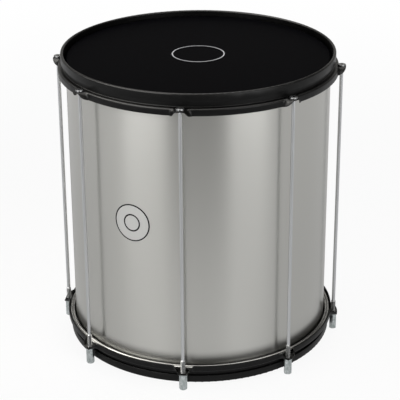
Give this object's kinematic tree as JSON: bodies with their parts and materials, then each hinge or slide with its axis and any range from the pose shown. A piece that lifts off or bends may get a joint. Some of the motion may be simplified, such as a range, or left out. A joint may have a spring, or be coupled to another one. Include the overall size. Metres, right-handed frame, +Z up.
{
  "type": "surdo drum",
  "caption": "Deep samba bass drum: brushed metal shell, black film heads under black pressed counter hoops, long tension rods, and hex nuts that it stands on.",
  "frame": {"origin": "under the middle of the drum, in the plane of the nuts' end faces that it stands on", "axes": "+Z up along the drum's axis, -Y towards the front tension rod"},
  "size_m": [0.505, 0.505, 0.5266],
  "materials": {
    "shell_metal": "brushed, satin",
    "head_film": "smooth black film, slightly satin",
    "flesh_hoop_metal": "rolled, satin",
    "hoop_paint": "black powder coat, semi-gloss",
    "badge_foil": "matt foil with plain rings",
    "rod_metal": "plated steel, threaded at the lower end",
    "washer_metal": "zinc plated",
    "nut_metal": "zinc plated"
  },
  "bodies": {
    "drum": {"shell": "shell_metal", "top_head": "head_film", "bottom_head": "head_film", "top_flesh_hoop": "flesh_hoop_metal", "bottom_flesh_hoop": "flesh_hoop_metal", "top_hoop": "hoop_paint", "bottom_hoop": "hoop_paint", "badge": "badge_foil", "tension_rod_1": "rod_metal", "tension_rod_2": "rod_metal", "tension_rod_3": "rod_metal", "tension_rod_4": "rod_metal", "tension_rod_5": "rod_metal", "tension_rod_6": "rod_metal", "tension_rod_7": "rod_metal", "tension_rod_8": "rod_metal"},
    "washer_1": {"washer_1": "washer_metal"},
    "nut_1": {"tension_nut_1": "nut_metal"},
    "washer_2": {"washer_2": "washer_metal"},
    "nut_2": {"tension_nut_2": "nut_metal"},
    "washer_3": {"washer_3": "washer_metal"},
    "nut_3": {"tension_nut_3": "nut_metal"},
    "washer_4": {"washer_4": "washer_metal"},
    "nut_4": {"tension_nut_4": "nut_metal"},
    "washer_5": {"washer_5": "washer_metal"},
    "nut_5": {"tension_nut_5": "nut_metal"},
    "washer_6": {"washer_6": "washer_metal"},
    "nut_6": {"tension_nut_6": "nut_metal"},
    "washer_7": {"washer_7": "washer_metal"},
    "nut_7": {"tension_nut_7": "nut_metal"},
    "washer_8": {"washer_8": "washer_metal"},
    "nut_8": {"tension_nut_8": "nut_metal"}
  },
  "joints": [
    {"name": "nut_1_travel", "type": "slide", "parent": "drum", "child": "washer_1", "axis": [0, 0, 1], "range_m": [-0.02, 0]},
    {"name": "nut_1_turn", "type": "hinge", "parent": "washer_1", "child": "nut_1", "pos_m": [0, -0.245, 0.014], "axis": [0, 0, 1], "range_deg": [-5760, 0]},
    {"name": "nut_2_travel", "type": "slide", "parent": "drum", "child": "washer_2", "axis": [0, 0, 1], "range_m": [-0.02, 0]},
    {"name": "nut_2_turn", "type": "hinge", "parent": "washer_2", "child": "nut_2", "pos_m": [0.17324, -0.17324, 0.014], "axis": [0, 0, 1], "range_deg": [-5760, 0]},
    {"name": "nut_3_travel", "type": "slide", "parent": "drum", "child": "washer_3", "axis": [0, 0, 1], "range_m": [-0.02, 0]},
    {"name": "nut_3_turn", "type": "hinge", "parent": "washer_3", "child": "nut_3", "pos_m": [0.245, 0, 0.014], "axis": [0, 0, 1], "range_deg": [-5760, 0]},
    {"name": "nut_4_travel", "type": "slide", "parent": "drum", "child": "washer_4", "axis": [0, 0, 1], "range_m": [-0.02, 0]},
    {"name": "nut_4_turn", "type": "hinge", "parent": "washer_4", "child": "nut_4", "pos_m": [0.17324, 0.17324, 0.014], "axis": [0, 0, 1], "range_deg": [-5760, 0]},
    {"name": "nut_5_travel", "type": "slide", "parent": "drum", "child": "washer_5", "axis": [0, 0, 1], "range_m": [-0.02, 0]},
    {"name": "nut_5_turn", "type": "hinge", "parent": "washer_5", "child": "nut_5", "pos_m": [0, 0.245, 0.014], "axis": [0, 0, 1], "range_deg": [-5760, 0]},
    {"name": "nut_6_travel", "type": "slide", "parent": "drum", "child": "washer_6", "axis": [0, 0, 1], "range_m": [-0.02, 0]},
    {"name": "nut_6_turn", "type": "hinge", "parent": "washer_6", "child": "nut_6", "pos_m": [-0.17324, 0.17324, 0.014], "axis": [0, 0, 1], "range_deg": [-5760, 0]},
    {"name": "nut_7_travel", "type": "slide", "parent": "drum", "child": "washer_7", "axis": [0, 0, 1], "range_m": [-0.02, 0]},
    {"name": "nut_7_turn", "type": "hinge", "parent": "washer_7", "child": "nut_7", "pos_m": [-0.245, 0, 0.014], "axis": [0, 0, 1], "range_deg": [-5760, 0]},
    {"name": "nut_8_travel", "type": "slide", "parent": "drum", "child": "washer_8", "axis": [0, 0, 1], "range_m": [-0.02, 0]},
    {"name": "nut_8_turn", "type": "hinge", "parent": "washer_8", "child": "nut_8", "pos_m": [-0.17324, -0.17324, 0.014], "axis": [0, 0, 1], "range_deg": [-5760, 0]}
  ],
  "couplings": [
    {"joint": "nut_1_turn", "follows": "nut_1_travel", "rad_per_m": 5026.5},
    {"joint": "nut_2_turn", "follows": "nut_2_travel", "rad_per_m": 5026.5},
    {"joint": "nut_3_turn", "follows": "nut_3_travel", "rad_per_m": 5026.5},
    {"joint": "nut_4_turn", "follows": "nut_4_travel", "rad_per_m": 5026.5},
    {"joint": "nut_5_turn", "follows": "nut_5_travel", "rad_per_m": 5026.5},
    {"joint": "nut_6_turn", "follows": "nut_6_travel", "rad_per_m": 5026.5},
    {"joint": "nut_7_turn", "follows": "nut_7_travel", "rad_per_m": 5026.5},
    {"joint": "nut_8_turn", "follows": "nut_8_travel", "rad_per_m": 5026.5}
  ]
}
